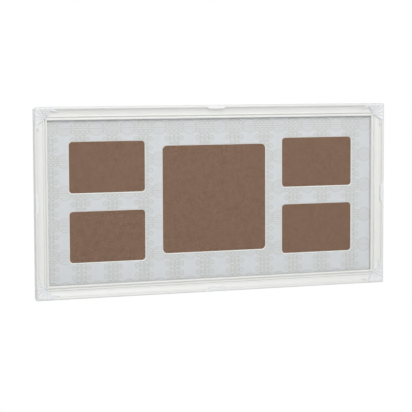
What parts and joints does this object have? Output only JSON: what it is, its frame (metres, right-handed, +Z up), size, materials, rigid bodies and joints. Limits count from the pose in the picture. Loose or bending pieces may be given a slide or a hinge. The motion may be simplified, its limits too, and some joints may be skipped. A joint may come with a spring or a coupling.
{
  "type": "collage photo frame",
  "caption": "Wide white wall frame of mitred moulding with leaf ornaments; a printed mat under glass shows a square picture between stacked oblong ones, held by turn buttons.",
  "frame": {"origin": "middle of the flat lower edge of the bottom rail", "axes": "+X to the right seen from the front, +Y out of the back, +Z up"},
  "size_m": [0.66, 0.0226, 0.34],
  "materials": {
    "white_lacquer": "white satin lacquer",
    "white_ornament": "moulded ornament under the same white lacquer",
    "clear_glass": "clear float glass",
    "printed_board": "pale grey mat board with a faint lattice print and a white core",
    "hardboard": "brown hardboard",
    "zinc_steel": "bright zinc plate"
  },
  "bodies": {
    "frame": {"top_rail": "white_lacquer", "bottom_rail": "white_lacquer", "left_rail": "white_lacquer", "right_rail": "white_lacquer", "corner_ornament_bottom_left": "white_ornament", "corner_ornament_bottom_right": "white_ornament", "corner_ornament_top_right": "white_ornament", "corner_ornament_top_left": "white_ornament", "ornament_top": "white_ornament", "ornament_bottom": "white_ornament", "ornament_left": "white_ornament", "ornament_right": "white_ornament", "mitre_v_nails": "zinc_steel", "pane": "clear_glass", "mat": "printed_board", "backing_board": "hardboard", "turn_button_screws": "zinc_steel", "hanger_plate_left": "zinc_steel", "hanger_plate_right": "zinc_steel", "hanger_screws": "zinc_steel"},
    "turn_button_top_left": {"turn_button_top_left": "zinc_steel"},
    "turn_button_top_middle": {"turn_button_top_middle": "zinc_steel"},
    "turn_button_top_right": {"turn_button_top_right": "zinc_steel"},
    "turn_button_bottom_left": {"turn_button_bottom_left": "zinc_steel"},
    "turn_button_bottom_middle": {"turn_button_bottom_middle": "zinc_steel"},
    "turn_button_bottom_right": {"turn_button_bottom_right": "zinc_steel"},
    "turn_button_left": {"turn_button_left": "zinc_steel"},
    "turn_button_right": {"turn_button_right": "zinc_steel"},
    "hanger_ring_left": {"hanger_ring_left": "zinc_steel"},
    "hanger_ring_right": {"hanger_ring_right": "zinc_steel"}
  },
  "joints": [
    {"name": "turn_button_top_left_pivot", "type": "hinge", "parent": "frame", "child": "turn_button_top_left", "pos_m": [-0.215, 0.0072, 0.331], "axis": [0, 1, 0], "continuous": true},
    {"name": "turn_button_top_middle_pivot", "type": "hinge", "parent": "frame", "child": "turn_button_top_middle", "pos_m": [0, 0.0072, 0.331], "axis": [0, 1, 0], "continuous": true},
    {"name": "turn_button_top_right_pivot", "type": "hinge", "parent": "frame", "child": "turn_button_top_right", "pos_m": [0.215, 0.0072, 0.331], "axis": [0, 1, 0], "continuous": true},
    {"name": "turn_button_bottom_left_pivot", "type": "hinge", "parent": "frame", "child": "turn_button_bottom_left", "pos_m": [-0.215, 0.0072, 0.009], "axis": [0, 1, 0], "continuous": true},
    {"name": "turn_button_bottom_middle_pivot", "type": "hinge", "parent": "frame", "child": "turn_button_bottom_middle", "pos_m": [0, 0.0072, 0.009], "axis": [0, 1, 0], "continuous": true},
    {"name": "turn_button_bottom_right_pivot", "type": "hinge", "parent": "frame", "child": "turn_button_bottom_right", "pos_m": [0.215, 0.0072, 0.009], "axis": [0, 1, 0], "continuous": true},
    {"name": "turn_button_left_pivot", "type": "hinge", "parent": "frame", "child": "turn_button_left", "pos_m": [-0.321, 0.0072, 0.17], "axis": [0, 1, 0], "continuous": true},
    {"name": "turn_button_right_pivot", "type": "hinge", "parent": "frame", "child": "turn_button_right", "pos_m": [0.321, 0.0072, 0.17], "axis": [0, 1, 0], "continuous": true},
    {"name": "hanger_ring_left_swing", "type": "hinge", "parent": "frame", "child": "hanger_ring_left", "pos_m": [-0.321, 0.0094, 0.255], "axis": [1, 0, 0], "range_deg": [0, 180]},
    {"name": "hanger_ring_right_swing", "type": "hinge", "parent": "frame", "child": "hanger_ring_right", "pos_m": [0.321, 0.0094, 0.255], "axis": [1, 0, 0], "range_deg": [0, 180]}
  ]
}
